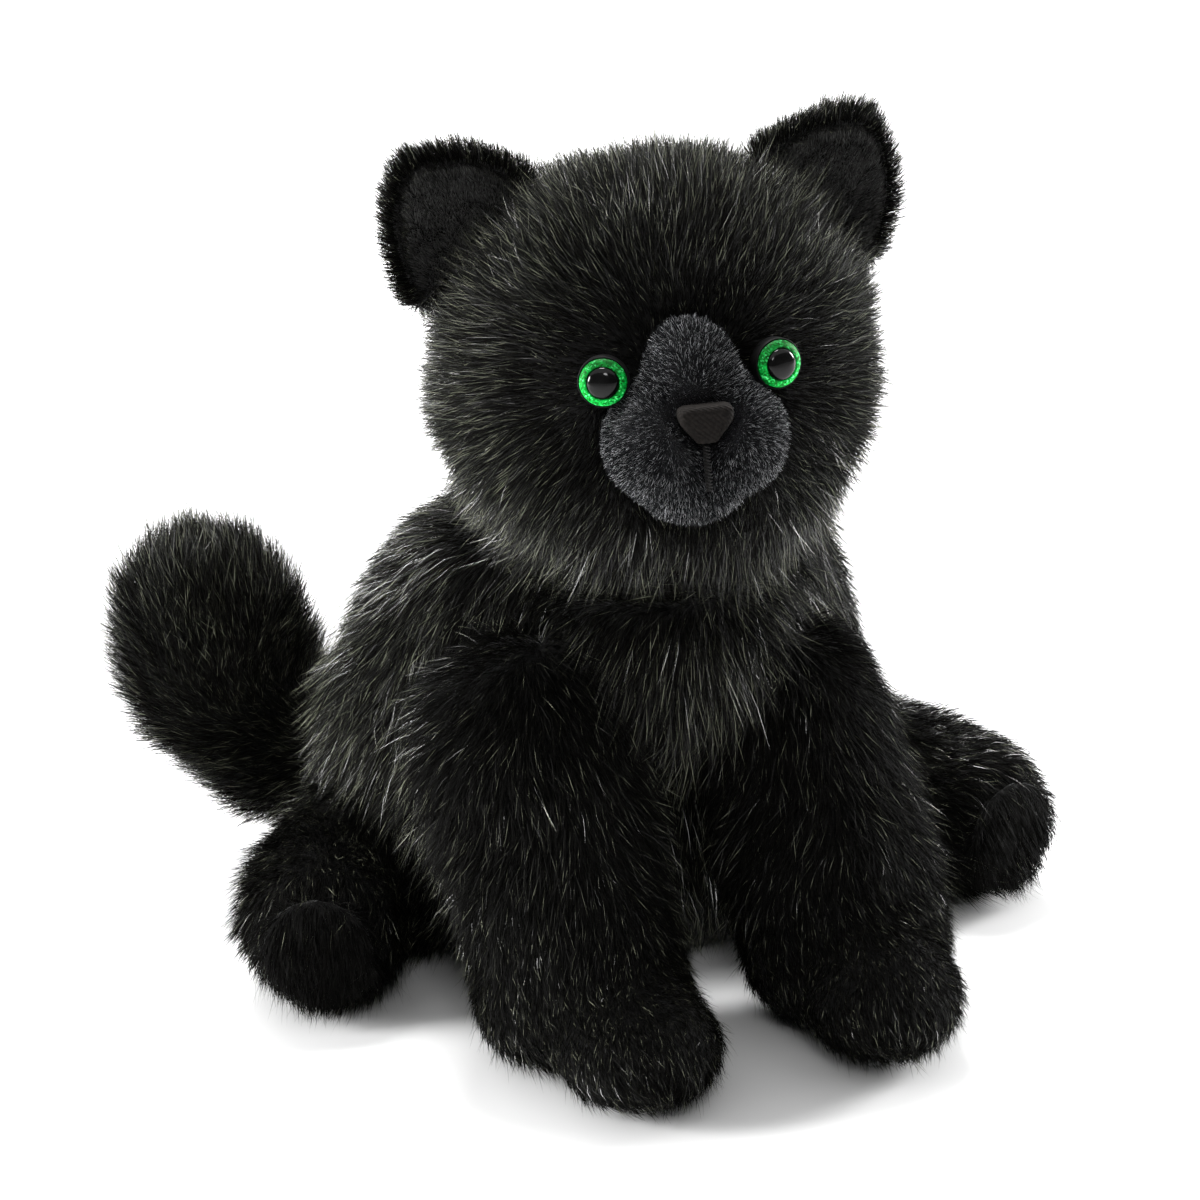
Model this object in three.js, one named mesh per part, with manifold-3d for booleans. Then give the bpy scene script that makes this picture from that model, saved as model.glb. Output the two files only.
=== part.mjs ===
// A sitting plush cat, stuffed and sewn: long-pile skins and their fillings, a short-pile muzzle, ear
// linings and soles, a padded nose, safety eyes with washers, a neck core and a pellet bag in the seat.
// Millimetres, +Z up. The cat faces -Y, and +X is its own left. The origin is the middle of its flat seat.
import * as THREE from 'three';
import { mergeVertices } from 'three/addons/utils/BufferGeometryUtils.js';
import Module from 'manifold-3d';

const wasm = await Module();
wasm.setup();

// Driving dimensions.
const gap = 0.4; // clearance between pieces that touch
const pile = 7; // long-pile fabric with its fur pressed flat
const shortPile = 2.6; // short-pile fabric
const swingRoom = 2.6; // extra room round a limb that swings, for carving with coarse copies

// The body is a pear of level slices, with a chest that stands forward of the shoulders.
const body = {
  slices: [
    { at: [-2, 4, 18], wide: 69, deep: 53 },
    { at: [-3, 4, 48], wide: 76, deep: 56 },
    { at: [-5, -8, 92], wide: 65, deep: 52 },
    { at: [-3, -24, 118], wide: 52, deep: 43 },
    { at: [0, -34, 132], wide: 38, deep: 32 },
  ],
  bottomDome: 24,
  topDome: 12,
  chest: { at: [-2, -54, 98], half: [36, 34, 31] },
};
const pelletBag = { middle: [0, 6], radius: 28, edge: 6, low: 8.6, high: 30 };

const head = { at: [0, -52, 163], half: [55, 49, 53], turn: -4.5, clearance: 4 };
const neck = {
  pivot: [-1, -50, 147],
  ballRadius: 13,
  stemRadius: 8.5,
  foot: 98,
  mouthRadius: 18,
};

// Each front leg hangs from a rounded shoulder, which is also where it swings.
const frontLegs = {
  right: {
    slices: [
      { at: [-40, -64, 80], wide: 29, deep: 27 },
      { at: [-36, -74, 50], wide: 28, deep: 26 },
      { at: [-33, -84, 15], wide: 30, deep: 26 },
    ],
    paw: { at: [-27, -107, 15], half: [24, 24, 17] },
  },
  left: {
    slices: [
      { at: [27, -64, 76], wide: 25, deep: 25 },
      { at: [30, -74, 48], wide: 27, deep: 25 },
      { at: [34, -84, 15], wide: 29, deep: 26 },
    ],
    paw: { at: [34, -106, 17], half: [23, 24, 18] },
  },
};
const frontHeelDome = 15;
const frontSwing = [-18, -7, 4]; // degrees about +X, forward is negative

// Each hind leg lies on the floor and turns about an upright line through the hip.
const hindLegs = {
  right: [
    { at: [-52, 2, 28], wide: 27, deep: 25 },
    { at: [-77, -9, 24], wide: 23.5, deep: 23.5 },
    { at: [-86, -33, 22], wide: 21.5, deep: 21.5 },
  ],
  left: [
    { at: [52, 2, 28], wide: 27, deep: 25 },
    { at: [79, -7, 24], wide: 23.5, deep: 23.5 },
    { at: [90, -30, 22], wide: 22, deep: 22 },
  ],
};
const hindHipDome = 14;
const hindFootDome = 11;
const sole = { radius: 14, thick: shortPile, out: 7.5 };
const hindSwing = [-10, 1, 12]; // degrees, outward is positive

const tail = [
  { at: [-14, 46, 32], wide: 15, deep: 15 },
  { at: [-50, 60, 30], wide: 18.5, deep: 18.5 },
  { at: [-80, 67, 40], wide: 23.5, deep: 23.5 },
  { at: [-91, 66, 72], wide: 25.5, deep: 25.5 },
];
const tailSwing = [-18, -8, 2]; // degrees about +Z, away from the body is negative

// Places on the head are in its own frame, from its middle.
const muzzle = [
  { at: [-10, -45, -4], half: [12.5, 17, 15] },
  { at: [10, -45, -4], half: [12.5, 17, 15] },
  { at: [0, -42, 7.5], half: [13, 15, 17] },
  { at: [-1, -43, -13], half: [15, 15, 13] },
];
const nose = { at: [0, -55.6, 2.9], wide: 12.2, low: 3.6, high: 7.4, deep: 3.8, bevel: 1 };
const mouth = { path: [[0, -55.8, -2.2], [0, -56, -7], [0, -58.4, -12.5]], radius: 0.9 };
const eye = {
  at: [20.5, -44.5, 11],
  outTurn: 16,
  upTurn: 7,
  irisRadius: 6,
  irisHigh: 1.5,
  pupilRadius: 4,
  pupilHigh: 2.6,
  cupRadius: 6.8,
  cupRim: 0.6,
  cupDeep: 3,
  postRadius: 1.8,
  postEnd: 14,
  washer: { radius: 5.6, from: -12, to: -10.5 }, // distances outward from the eye's middle
};
const ear = {
  high: [25, 46],
  low: [55, 18],
  tip: [54, 54.5],
  y: 3,
  thick: 9,
  bevel: 2.5,
  border: 0.24, // share of the ear's size left round its lining
  liningThick: 2,
};
const earSwing = [-20, -7, 6, 14]; // degrees about the base line

const looks = {
  longPile: { color: 0x151513, roughness: 0.95, metalness: 0 },
  shortPile: { color: 0x2b2c2e, roughness: 0.9, metalness: 0 },
  noseCloth: { color: 0x1d1815, roughness: 0.9, metalness: 0 },
  thread: { color: 0x0c0b0b, roughness: 0.8, metalness: 0 },
  iris: { color: 0x1fae5a, roughness: 0.25, metalness: 0 },
  pupil: { color: 0x050505, roughness: 0.08, metalness: 0 },
  washer: { color: 0xe8e8e0, roughness: 0.5, metalness: 0 },
  filling: { color: 0xf2f0ea, roughness: 1, metalness: 0 },
  pellets: { color: 0xd8d4c8, roughness: 0.9, metalness: 0 },
};

const sides = { left: 1, right: -1 };
const group = new THREE.Group();
const headGroup = new THREE.Group();
headGroup.position.set(...head.at);
headGroup.rotation.z = THREE.MathUtils.degToRad(head.turn);
group.add(headGroup);

function vec(p) {
  return new THREE.Vector3(...p);
}

function ellipsoid({ at, half }, grow = 0, [across, up] = [16, 10]) {
  const shape = new THREE.SphereGeometry(1, across, up);
  shape.rotateX(Math.PI / 2);
  shape.scale(...half.map((v) => v + grow));
  shape.translate(...at);
  return shape;
}

// An upright turned shape from [radius, height] pairs that start and end on the axis.
function turned(pairs, [x, y], around = 20) {
  const shape = new THREE.LatheGeometry(pairs.map((p) => new THREE.Vector2(...p)), around);
  shape.rotateX(Math.PI / 2);
  shape.translate(x, y, 0);
  return shape;
}

// A closed form through elliptical slices on a smooth path, with a dome at each end.
// Slices stand square to the path, or lie level; wide is measured along wideAlong.
function loft(slices, { grow = 0, around = 12, rings = 3, domes = 2, level = false, wideAlong = [1, 0, 0],
  startDome = slices[0].deep, endDome = slices[slices.length - 1].deep } = {}) {
  const path = new THREE.CatmullRomCurve3(slices.map((s) => vec(s.at)), false, 'catmullrom');
  const sizes = slices.map((s) => new THREE.Vector3(s.wide, s.deep, 0));
  const sizeAlong = new THREE.CatmullRomCurve3(sizes, false, 'catmullrom');
  const rows = [];
  function addRow(t, offset, shrink) {
    const tangent = level ? new THREE.Vector3(0, 0, 1) : path.getTangent(t);
    const wideDir = vec(wideAlong).projectOnPlane(tangent).normalize();
    const deepDir = new THREE.Vector3().crossVectors(tangent, wideDir);
    const size = sizeAlong.getPoint(t).addScalar(grow).multiplyScalar(shrink);
    wideDir.multiplyScalar(size.x);
    deepDir.multiplyScalar(size.y);
    rows.push({ middle: path.getPoint(t).addScaledVector(tangent, offset), wideDir, deepDir });
  }
  for (let k = 0; k < domes; k += 1) {
    const angle = (Math.PI / 2) * (k / domes);
    addRow(0, -(startDome + grow) * Math.cos(angle), Math.sin(angle));
  }
  for (let k = 0; k <= rings; k += 1) addRow(k / rings, 0, 1);
  for (let k = domes - 1; k >= 0; k -= 1) {
    const angle = (Math.PI / 2) * (k / domes);
    addRow(1, (endDome + grow) * Math.cos(angle), Math.sin(angle));
  }
  const rims = rows.slice(1, -1);
  const points = [...rows[0].middle.toArray()];
  for (const row of rims) {
    for (let k = 0; k < around; k += 1) {
      const turn = (2 * Math.PI * k) / around;
      const p = row.middle.clone();
      p.addScaledVector(row.wideDir, Math.cos(turn));
      p.addScaledVector(row.deepDir, Math.sin(turn));
      points.push(...p.toArray());
    }
  }
  points.push(...rows[rows.length - 1].middle.toArray());
  const lastPoint = rims.length * around + 1;
  const faces = [];
  for (let k = 0; k < around; k += 1) {
    const next = (k + 1) % around;
    faces.push(0, 1 + next, 1 + k);
    faces.push(lastPoint, lastPoint - around + k, lastPoint - around + next);
    for (let row = 0; row < rims.length - 1; row += 1) {
      const a = 1 + row * around + k;
      const b = 1 + row * around + next;
      faces.push(a, b, b + around, a, b + around, a + around);
    }
  }
  const shape = new THREE.BufferGeometry();
  shape.setAttribute('position', new THREE.Float32BufferAttribute(points, 3));
  shape.setIndex(faces);
  return shape;
}

// A three.js geometry as a solid that can be joined and cut, and back.
function solid(geometry) {
  const bare = geometry.clone();
  bare.deleteAttribute('normal');
  bare.deleteAttribute('uv');
  const merged = mergeVertices(bare, 1e-4);
  const mesh = new wasm.Mesh({
    numProp: 3,
    vertProperties: new Float32Array(merged.attributes.position.array),
    triVerts: new Uint32Array(merged.index.array),
  });
  return new wasm.Manifold(mesh);
}

function geometryOf(shape) {
  const mesh = shape.getMesh();
  const made = new THREE.BufferGeometry();
  made.setAttribute('position', new THREE.BufferAttribute(new Float32Array(mesh.vertProperties), 3));
  made.setIndex(new THREE.BufferAttribute(new Uint32Array(mesh.triVerts), 1));
  return made;
}

function joined(geometries) {
  return geometries.map(solid).reduce((all, next) => all.add(next));
}

function box(low, high) {
  const size = high.map((v, k) => v - low[k]);
  const made = new THREE.BoxGeometry(...size);
  made.translate(...low.map((v, k) => v + size[k] / 2));
  return made;
}

// Copies of a geometry turned about a line through pivot, joined into the room that it needs.
function swept(geometry, pivot, axis, degrees) {
  const copies = degrees.map((angle) => {
    const copy = geometry.clone();
    copy.translate(...pivot.map((v) => -v));
    copy.applyMatrix4(new THREE.Matrix4().makeRotationAxis(vec(axis), THREE.MathUtils.degToRad(angle)));
    copy.translate(...pivot);
    return copy;
  });
  return joined(copies);
}

function add(name, shape, look, parent = group) {
  const geometry = shape instanceof THREE.BufferGeometry ? shape : geometryOf(shape);
  const mesh = new THREE.Mesh(geometry, new THREE.MeshStandardMaterial(look));
  mesh.name = name;
  parent.add(mesh);
  return mesh;
}

const floor = solid(box([-300, -300, -100], [300, 300, 0]));
const underPile = solid(box([-300, -300, -100], [300, 300, pile]));
const underFilling = solid(box([-300, -300, -100], [300, 300, pile + gap]));

const insideDetail = { around: 9, rings: 2, domes: 2 };
const coarse = { around: 8, rings: 2, domes: 2 };
const carvers = []; // the room that each limb needs to swing, taken out of the body skin
const fillCarvers = []; // the same for the body filling, which lies deeper

// A stuffed limb: a skin with an open seam end, and the filling inside it.
function addLimb(name, ending, { shape, seam, swingShape, pivot, axis, degrees }) {
  const opening = solid(ellipsoid(seam, 0, [10, 6]));
  const openingRoom = solid(ellipsoid(seam, gap, [10, 6]));
  const inside = shape(-pile, insideDetail).subtract(underPile);
  const filling = shape(-pile - gap, insideDetail).subtract(underFilling).subtract(openingRoom);
  add(name + '_skin' + ending, shape(0).subtract(inside).subtract(floor).subtract(opening), looks.longPile);
  add(name + '_filling' + ending, filling, looks.filling);
  carvers.push(swept(swingShape(swingRoom), pivot, axis, degrees));
  fillCarvers.push(solid(swingShape(swingRoom + 1.5)));
}

for (const [word, leg] of Object.entries(frontLegs)) {
  const [top] = leg.slices;
  const [x, y, z] = top.at;
  addLimb('front_leg', '_' + word, {
    shape: (grow, detail = {}) => joined([
      loft(leg.slices, { grow, endDome: frontHeelDome, ...detail }),
      ellipsoid(leg.paw, grow, [12, 7]),
    ]),
    seam: { at: [x, y + top.deep, z + 6], half: [14, 14, 14] },
    swingShape: (grow) => loft(leg.slices, { grow, ...coarse, endDome: frontHeelDome }),
    pivot: top.at,
    axis: [1, 0, 0],
    degrees: frontSwing,
  });
}

for (const [word, slices] of Object.entries(hindLegs)) {
  const upright = { wideAlong: [0, 0, 1], startDome: hindHipDome, endDome: hindFootDome };
  const [hip, knee, foot] = slices.map((slice) => vec(slice.at));
  const out = foot.clone().sub(knee).normalize();
  const soleMiddle = foot.clone().addScaledVector(out, sole.out);
  const soleTurn = new THREE.Quaternion().setFromUnitVectors(new THREE.Vector3(0, 1, 0), out);
  function pad(grow, outward) {
    const { radius, thick } = sole;
    const disc = new THREE.CylinderGeometry(radius + grow, radius + grow, thick + 2 * grow + outward, 16);
    disc.translate(0, outward / 2, 0);
    disc.applyQuaternion(soleTurn);
    disc.translate(...soleMiddle.toArray());
    return solid(disc);
  }
  addLimb('hind_leg', '_' + word, {
    shape: (grow, detail = {}) => {
      const form = solid(loft(slices, { grow, ...upright, ...detail }));
      return grow === 0 ? form.subtract(pad(gap, hindFootDome)) : form;
    },
    seam: { at: [hip.x - sides[word] * 12, hip.y, hip.z], half: [10, 13, 13] },
    swingShape: (grow) => loft(slices, { grow, ...coarse, ...upright }),
    pivot: slices[0].at,
    axis: [0, 0, sides[word]],
    degrees: hindSwing,
  });
  add('hind_sole_' + word, pad(0, 0).subtract(floor), looks.shortPile);
}

addLimb('tail', '', {
  shape: (grow, detail = {}) => solid(loft(tail, { grow, wideAlong: [0, 0, 1], ...detail, rings: 5 })),
  seam: { at: [tail[0].at[0] + 10, tail[0].at[1] - 10, tail[0].at[2]], half: [10, 10, 10] },
  swingShape: (grow) => loft(tail, { grow, ...coarse, wideAlong: [0, 0, 1], rings: 3 }),
  pivot: tail[0].at,
  axis: [0, 0, 1],
  degrees: tailSwing,
});

// The neck core: a stem that stands in the body, with a ball that the head nods on.
const stemProfile = (radius, low) => [[0, low], [radius, low], [radius, neck.pivot[2]], [0, neck.pivot[2]]];
const ball = { at: neck.pivot, half: [neck.ballRadius, neck.ballRadius, neck.ballRadius] };
const stem = turned(stemProfile(neck.stemRadius, neck.foot), neck.pivot, 16);
const stemHole = solid(turned(stemProfile(neck.stemRadius + gap, neck.foot - gap), neck.pivot, 16));
add('neck_core', joined([stem, ellipsoid(ball, 0, [16, 10])]), looks.filling);

// The body, carved clear of the limbs, the head and the neck core. The pellet bag lies in its seat.
const headRoom = solid(ellipsoid(head, head.clearance));
const { radius: bagRadius, low: bagLow, high: bagHigh, middle: bagMiddle, edge: bagEdge } = pelletBag;
const bag = [[0, bagLow], [bagRadius - bagEdge, bagLow], [bagRadius, bagLow + bagEdge],
  [bagRadius, bagHigh - bagEdge], [bagRadius - bagEdge, bagHigh], [0, bagHigh]];
const recess = [[0, 0], [bagRadius + gap, 0], [bagRadius + gap, bagHigh + gap], [0, bagHigh + gap]];

function bodyForm(grow, around = 16) {
  const { slices, bottomDome, topDome, chest } = body;
  const domes = { startDome: bottomDome, endDome: topDome };
  return joined([
    loft(slices, { grow, level: true, around, rings: 5, ...domes }),
    ellipsoid(chest, grow, [12, 8]),
  ]);
}

function cut(shape, rooms) {
  return rooms.reduce((rest, room) => rest.subtract(room), shape);
}

const bodyHollow = bodyForm(-pile - 2, 12).subtract(underPile);
const bodyFilling = bodyForm(-pile - 2 - gap, 12).subtract(underFilling);
const bodyOuter = bodyForm(0).subtract(bodyHollow).subtract(floor);
const bagRoom = solid(turned(recess, bagMiddle));
add('body_skin', cut(bodyOuter, [...carvers, headRoom, stemHole]), looks.longPile);
add('body_filling', cut(bodyFilling, [...fillCarvers, headRoom, stemHole, bagRoom]), looks.filling);
add('pellet_bag', turned(bag, bagMiddle), looks.pellets);

// The head and all that is on it, in its own frame.
headGroup.updateMatrixWorld(true);
const nod = headGroup.worldToLocal(vec(neck.pivot)).toArray();
const skull = { at: [0, 0, 0], half: head.half };
const skinInside = solid(ellipsoid(skull, -pile));
const facePieces = [solid(ellipsoid(skull, -pile + gap))];

// A turned piece of an eye, from [radius, distance outward] pairs.
function eyePiece(pairs, side, around = 16) {
  const shape = new THREE.LatheGeometry(pairs.map((p) => new THREE.Vector2(...p)), around);
  shape.rotateX(Math.PI - THREE.MathUtils.degToRad(eye.upTurn));
  shape.rotateZ(side * THREE.MathUtils.degToRad(eye.outTurn));
  shape.translate(eye.at[0] * side, eye.at[1], eye.at[2]);
  return shape;
}

function eyeRod(radius, from, to, side) {
  return eyePiece([[0, from], [radius, from], [radius, to], [0, to]], side, 12);
}

function eyeRing(inner, radius, from, to, side) {
  return eyePiece([[inner, from], [radius, from], [radius, to], [inner, to], [inner, from]], side);
}

const eyeRooms = [];
const washerRooms = [];
for (const [word, side] of Object.entries(sides)) {
  const { irisRadius, irisHigh, pupilRadius, pupilHigh } = eye;
  const { cupRadius, cupRim, cupDeep, postRadius, postEnd } = eye;
  const { radius: washerRadius, from, to } = eye.washer;
  const cupWall = irisRadius + gap;
  const irisHole = pupilRadius + gap;
  const cupPairs = [
    [0, -postEnd], [postRadius, -postEnd], [postRadius, -cupDeep], [cupRadius, -cupDeep],
    [cupRadius, cupRim], [cupWall, cupRim], [cupWall, -gap], [0, -gap],
  ];
  const irisPairs = [
    [irisHole, 0], [irisRadius, 0], [irisRadius, 0.5],
    [irisRadius - 0.8, irisHigh * 0.8], [irisHole, irisHigh], [irisHole, 0],
  ];
  const pupilPairs = [
    [0, 0], [pupilRadius, 0], [pupilRadius, irisHigh],
    [pupilRadius * 0.72, pupilHigh * 0.86], [0, pupilHigh],
  ];
  add('eye_cup_' + word, eyePiece(cupPairs, side), looks.pupil, headGroup);
  add('eye_iris_' + word, eyePiece(irisPairs, side), looks.iris, headGroup);
  add('eye_pupil_' + word, eyePiece(pupilPairs, side), looks.pupil, headGroup);
  const washer = eyeRing(postRadius + gap, washerRadius, from, to, side);
  add('eye_washer_' + word, washer, looks.washer, headGroup);
  eyeRooms.push(joined([
    eyeRod(cupRadius + gap, -cupDeep - gap, 12, side),
    eyeRod(postRadius + gap, -postEnd - gap, 0, side),
  ]));
  washerRooms.push(solid(eyeRod(washerRadius + gap, -postEnd - gap, 0, side)));
}

// The muzzle: two cheeks, a bridge and a chin in short pile, on its own filling.
function muzzleForm(grow, detail = [12, 8]) {
  return joined(muzzle.map((part) => ellipsoid(part, grow, detail)));
}

// The nose is an upside-down trapezoid with rounded top corners.
function nosePad(grow) {
  const { at, wide, low, high, deep, bevel } = nose;
  const top = high / 2;
  const outline = new THREE.Shape();
  outline.moveTo(-low / 2, -top);
  outline.lineTo(low / 2, -top);
  outline.lineTo(wide / 2 - 0.8, top - 3);
  outline.quadraticCurveTo(wide / 2 + 0.5, top, wide / 2 - 1.5, top);
  outline.lineTo(1.5 - wide / 2, top);
  outline.quadraticCurveTo(-wide / 2 - 0.5, top, 0.8 - wide / 2, top - 3);
  const pad = new THREE.ExtrudeGeometry(outline, {
    depth: deep,
    curveSegments: 3,
    bevelSegments: 1,
    bevelSize: bevel + grow,
    bevelThickness: bevel + grow,
  });
  pad.rotateX(Math.PI / 2);
  pad.translate(...at);
  return solid(pad);
}

function mouthStitch(radius) {
  const ring = new THREE.Shape().absarc(0, 0, radius, 0, 2 * Math.PI);
  const extrudePath = new THREE.QuadraticBezierCurve3(...mouth.path.map(vec));
  const settings = { steps: 5, curveSegments: 4, bevelEnabled: false, extrudePath };
  return solid(new THREE.ExtrudeGeometry(ring, settings));
}

const noseRoom = nosePad(gap);
facePieces.push(noseRoom, mouthStitch(mouth.radius + gap), ...eyeRooms);
add('nose', nosePad(0), looks.noseCloth, headGroup);
add('mouth_thread', mouthStitch(mouth.radius).subtract(noseRoom), looks.thread, headGroup);
const muzzleInside = muzzleForm(-shortPile);
add('muzzle_skin', cut(muzzleForm(0), [muzzleInside, ...facePieces]), looks.shortPile, headGroup);
const muzzleStuffing = cut(muzzleForm(-shortPile - 2.5 * gap, [10, 6]), facePieces);
add('muzzle_filling', muzzleStuffing, looks.filling, headGroup);

// One rounded plate of an ear; a border of its outline can be left off.
function earPlate(side, { border = 0, thick, bevel, y }) {
  const corners = [ear.high, ear.low, ear.tip];
  const middle = [0, 1].map((k) => (corners[0][k] + corners[1][k] + corners[2][k]) / 3);
  const at = ([x, z]) => [side * (x + (middle[0] - x) * border), z + (middle[1] - z) * border];
  const [high, low, tip] = corners;
  const outline = new THREE.Shape();
  outline.moveTo(...at(high));
  const innerBulge = [(high[0] + tip[0]) / 2 - 5, (high[1] + tip[1]) / 2 + 6];
  const outerBulge = [(low[0] + tip[0]) / 2 + 9, (low[1] + tip[1]) / 2 + 1];
  outline.quadraticCurveTo(...at(innerBulge), ...at([tip[0] - 7, tip[1] + 1]));
  outline.quadraticCurveTo(...at([tip[0] + 3, tip[1] + 3]), ...at([tip[0] + 5, tip[1] - 6]));
  outline.quadraticCurveTo(...at(outerBulge), ...at(low));
  const depth = thick - 2 * bevel;
  const plate = new THREE.ExtrudeGeometry(outline, {
    depth,
    curveSegments: 4,
    bevelSegments: 1,
    bevelSize: bevel / 2,
    bevelThickness: bevel,
    bevelOffset: -bevel / 2,
  });
  plate.rotateX(Math.PI / 2);
  plate.translate(0, y + depth / 2, 0);
  return solid(plate);
}

// Each ear is a long-pile back with a short-pile lining let into its front, hinged along its base.
const earRooms = [];
for (const [word, side] of Object.entries(sides)) {
  const { high, low, y, thick, bevel, border, liningThick } = ear;
  const liningAt = y - (thick - liningThick) / 2;
  const lining = { border, thick: liningThick, bevel: gap, y: liningAt };
  const liningRoom = { border: border - 0.05, thick: liningThick + 2 * gap, bevel: 0.1, y: liningAt };
  const back = earPlate(side, { thick, bevel, y });
  add('ear_back_' + word, back.subtract(earPlate(side, liningRoom)), looks.longPile, headGroup);
  add('ear_lining_' + word, earPlate(side, lining), looks.shortPile, headGroup);

  const middle = [(side * (high[0] + low[0])) / 2, y, (high[1] + low[1]) / 2];
  const along = new THREE.Vector3(low[0] - high[0], 0, side * (low[1] - high[1]));
  const long = along.length() + 8;
  const slot = new THREE.BoxGeometry(long, thick + 2, 16);
  slot.translate(0, 0, 8);
  const seamRod = new THREE.CylinderGeometry(thick / 2 + 1, thick / 2 + 1, long, 10);
  seamRod.rotateZ(Math.PI / 2);
  for (const shape of [slot, seamRod]) {
    shape.rotateY(-Math.atan2(along.z, along.x));
    shape.translate(...middle);
  }
  earRooms.push(swept(slot, middle, along.normalize().toArray(), earSwing), solid(seamRod));
}

// The head skin and its filling, open below for the neck core.
const mouthTop = pile + 3 - head.half[2];
const neckMouthPairs = [
  [0, mouthTop - 14], [neck.mouthRadius, mouthTop - 14], [neck.mouthRadius, mouthTop],
  [neck.ballRadius + gap, nod[2]], [0, nod[2]],
];
const neckMouth = solid(turned(neckMouthPairs, nod, 14));
const ballRoom = solid(ellipsoid({ at: nod, half: ball.half }, 2 * gap));
const muzzleRoom = muzzleForm(gap);
const skinRooms = [skinInside, muzzleRoom, neckMouth, ...eyeRooms, ...earRooms];
add('head_skin', cut(solid(ellipsoid(skull)), skinRooms), looks.longPile, headGroup);
const stuffingRooms = [neckMouth, ballRoom, ...washerRooms, ...earRooms];
add('head_filling', cut(solid(ellipsoid(skull, -pile - gap)), stuffingRooms), looks.filling, headGroup);

export default group;
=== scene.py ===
import math

import bmesh
import bpy
import numpy as np
from mathutils import Matrix, Vector
from mathutils.bvhtree import BVHTree


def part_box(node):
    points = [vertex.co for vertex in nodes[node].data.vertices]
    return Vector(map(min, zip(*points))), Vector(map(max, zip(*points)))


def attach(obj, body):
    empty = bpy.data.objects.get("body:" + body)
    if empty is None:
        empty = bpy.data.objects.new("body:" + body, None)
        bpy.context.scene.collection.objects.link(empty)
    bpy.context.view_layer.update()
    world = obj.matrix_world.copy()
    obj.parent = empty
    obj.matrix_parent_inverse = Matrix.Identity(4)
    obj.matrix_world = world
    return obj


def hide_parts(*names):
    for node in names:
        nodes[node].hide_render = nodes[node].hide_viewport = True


# A sitting plush cat: stuffed skins, long black pile, short-pile face, safety eyes.
# Metres, the cat faces -Y and +X is its own left.

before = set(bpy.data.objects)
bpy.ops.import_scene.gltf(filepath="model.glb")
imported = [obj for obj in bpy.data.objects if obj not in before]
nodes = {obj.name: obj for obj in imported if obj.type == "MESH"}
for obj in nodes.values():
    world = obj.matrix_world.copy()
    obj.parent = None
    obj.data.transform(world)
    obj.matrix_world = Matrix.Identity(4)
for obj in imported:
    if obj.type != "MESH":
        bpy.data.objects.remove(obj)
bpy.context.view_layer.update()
scene = bpy.context.scene
millimetre = 0.001


def newObject(name, mesh):
    made = bpy.data.objects.new(name, mesh)
    scene.collection.objects.link(made)
    return made


def readPoints(mesh):
    points = np.empty(len(mesh.vertices) * 3, dtype=np.float32)
    mesh.vertices.foreach_get("co", points)
    return points.reshape(-1, 3).astype(np.float64)


def writePoints(mesh, points):
    mesh.vertices.foreach_set("co", np.asarray(points, dtype=np.float32).ravel())
    mesh.update()


def readNormals(mesh):
    normals = np.empty(len(mesh.vertices) * 3, dtype=np.float32)
    mesh.vertex_normals.foreach_get("vector", normals)
    return normals.reshape(-1, 3).astype(np.float64)


def unit(vectors):
    length = np.linalg.norm(vectors, axis=-1, keepdims=True)
    return vectors / np.maximum(length, 1e-9)


def alongSurface(vectors, normals):
    flat = vectors - np.sum(vectors * normals, axis=1, keepdims=True) * normals
    return unit(flat)


def setFloat(mesh, name, values):
    kept = mesh.attributes.get(name) or mesh.attributes.new(name, "FLOAT", "POINT")
    kept.data.foreach_set("value", np.asarray(values, dtype=np.float32))


def setVector(mesh, name, values):
    kept = mesh.attributes.get(name) or mesh.attributes.new(name, "FLOAT_VECTOR", "POINT")
    kept.data.foreach_set("vector", np.asarray(values, dtype=np.float32).ravel())


def plainMesh(obj):
    depsgraph = bpy.context.evaluated_depsgraph_get()
    return bpy.data.meshes.new_from_object(obj.evaluated_get(depsgraph), depsgraph=depsgraph)


def bakeModifiers(obj):
    done = plainMesh(obj)
    obj.modifiers.clear()
    obj.data = done
    return done


def shadeSmooth(mesh):
    mesh.polygons.foreach_set("use_smooth", [True] * len(mesh.polygons))
    mesh.update()


def boxMiddle(name):
    low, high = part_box(name)
    return (Vector(low) + Vector(high)) / 2


# Shares from 0 to 1: rise grows as the values pass the start, fall grows as they drop below it.
def rise(values, start, width):
    return np.clip((values - start) / width, 0, 1)


def fall(values, start, width):
    return np.clip((start - values) / width, 0, 1)


view = {
    "azimuth": -15, "elevation": 20, "roll": 3, "distance": 1.1,
    "target": (-0.0115, -0.036, 0.1), "lens": 135.3, "sensor": 36,
    "farthest": 20,
}


def placeCamera():
    azimuth = math.radians(view["azimuth"])
    elevation = math.radians(view["elevation"])
    roll = math.radians(view["roll"])
    back = Vector((
        math.sin(azimuth) * math.cos(elevation),
        -math.cos(azimuth) * math.cos(elevation),
        math.sin(elevation),
    ))
    level = Vector((math.cos(azimuth), math.sin(azimuth), 0))
    upright = back.cross(level)
    right = level * math.cos(roll) - upright * math.sin(roll)
    up = level * math.sin(roll) + upright * math.cos(roll)
    data = bpy.data.cameras.new("camera")
    data.lens = view["lens"]
    data.sensor_width = view["sensor"]
    data.clip_end = view["farthest"]
    camera = newObject("camera", data)
    turn = Matrix((right, up, back)).transposed().to_4x4()
    place = Matrix.Translation(Vector(view["target"]) + back * view["distance"])
    camera.matrix_world = place @ turn
    scene.camera = camera


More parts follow.
